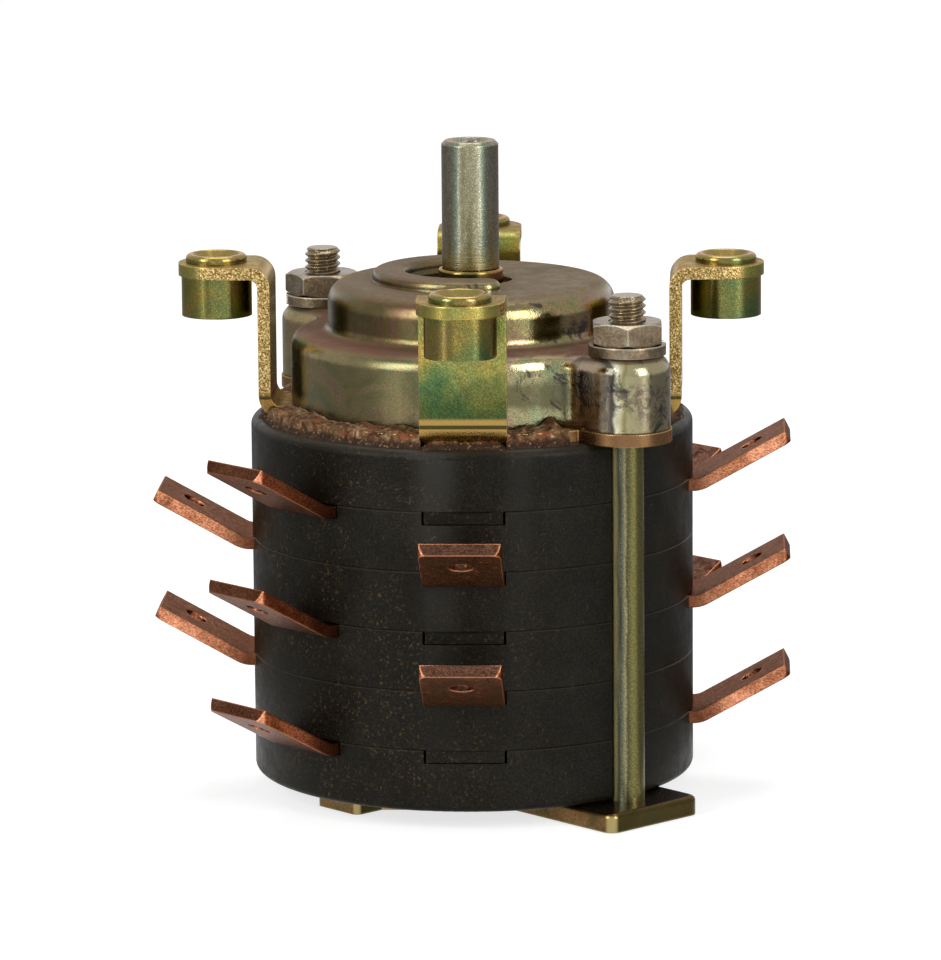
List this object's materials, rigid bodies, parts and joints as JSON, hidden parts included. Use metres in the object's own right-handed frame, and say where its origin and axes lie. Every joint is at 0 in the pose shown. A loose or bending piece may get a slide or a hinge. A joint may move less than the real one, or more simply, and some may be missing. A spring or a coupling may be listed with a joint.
{
  "type": "rotary switch",
  "caption": "Stacked rotary power switch: round black insulating decks between plates on tie rods, copper solder terminals, domed index cover, plain shaft and a four-arm panel bracket.",
  "frame": {"origin": "middle of the end plate's underside, on the shaft axis", "axes": "+Z along the shaft towards its free end, -Y towards the front arm of the bracket, front tie rod at +X -Y"},
  "size_m": [0.0672, 0.0672, 0.0688],
  "materials": {
    "plate_zinc": "yellow zinc passivated sheet, semi-gloss",
    "bracket_zinc": "yellow zinc passivated sheet, glossy with green and gold tints",
    "cover_zinc": "yellow zinc passivated drawn sheet, dull and dusty",
    "rod_zinc": "yellow zinc passivated rod, semi-gloss",
    "bush_zinc": "yellow zinc passivated turned bush",
    "shaft_steel": "zinc passivated turned steel",
    "fastener_steel": "dull zinc plated steel",
    "index_steel": "plain steel, oiled",
    "spring_steel": "blued spring steel",
    "copper": "bare copper, tarnished",
    "deck_phenolic": "black moulded phenolic, semi-matt",
    "rotor_phenolic": "brown moulded phenolic"
  },
  "bodies": {
    "switch_body": {"click_spring_left": "spring_steel", "click_spring_right": "spring_steel", "deck_1": "deck_phenolic", "deck_2": "deck_phenolic", "deck_3": "deck_phenolic", "deck_4": "deck_phenolic", "deck_5": "deck_phenolic", "deck_6": "deck_phenolic", "end_plate": "plate_zinc", "index_cover": "cover_zinc", "mounting_bush_front": "bracket_zinc", "mounting_bush_left": "bracket_zinc", "mounting_bush_rear": "bracket_zinc", "mounting_bush_right": "bracket_zinc", "mounting_plate": "bracket_zinc", "shaft_bush": "bush_zinc", "spring_posts": "index_steel", "spring_washer_front": "fastener_steel", "spring_washer_rear": "fastener_steel", "terminal_1_front_left": "copper", "terminal_1_rear": "copper", "terminal_1_right": "copper", "terminal_2_front": "copper", "terminal_2_left": "copper", "terminal_2_rear_right": "copper", "terminal_3_front_left": "copper", "terminal_3_rear": "copper", "terminal_3_right": "copper", "terminal_4_front": "copper", "terminal_4_left": "copper", "terminal_4_rear_right": "copper", "terminal_5_front_left": "copper", "terminal_5_rear": "copper", "terminal_5_right": "copper", "tie_nut_front": "fastener_steel", "tie_nut_rear": "fastener_steel", "tie_rod_front": "rod_zinc", "tie_rod_rear": "rod_zinc"},
    "turning_shaft": {"bridge_contact_1": "copper", "bridge_contact_2": "copper", "bridge_contact_3": "copper", "bridge_contact_4": "copper", "bridge_contact_5": "copper", "index_wheel": "index_steel", "retaining_ring": "index_steel", "rotor_1": "rotor_phenolic", "rotor_2": "rotor_phenolic", "rotor_3": "rotor_phenolic", "rotor_4": "rotor_phenolic", "rotor_5": "rotor_phenolic", "shaft": "shaft_steel", "stop_pin": "index_steel", "stop_plate": "index_steel"}
  },
  "joints": [
    {"name": "shaft_turn", "type": "hinge", "parent": "switch_body", "child": "turning_shaft", "pos_m": [0, 0, 0.05], "axis": [0, 0, 1], "range_deg": [-90, 90], "deforming": ["click_spring_left", "click_spring_right"]}
  ]
}
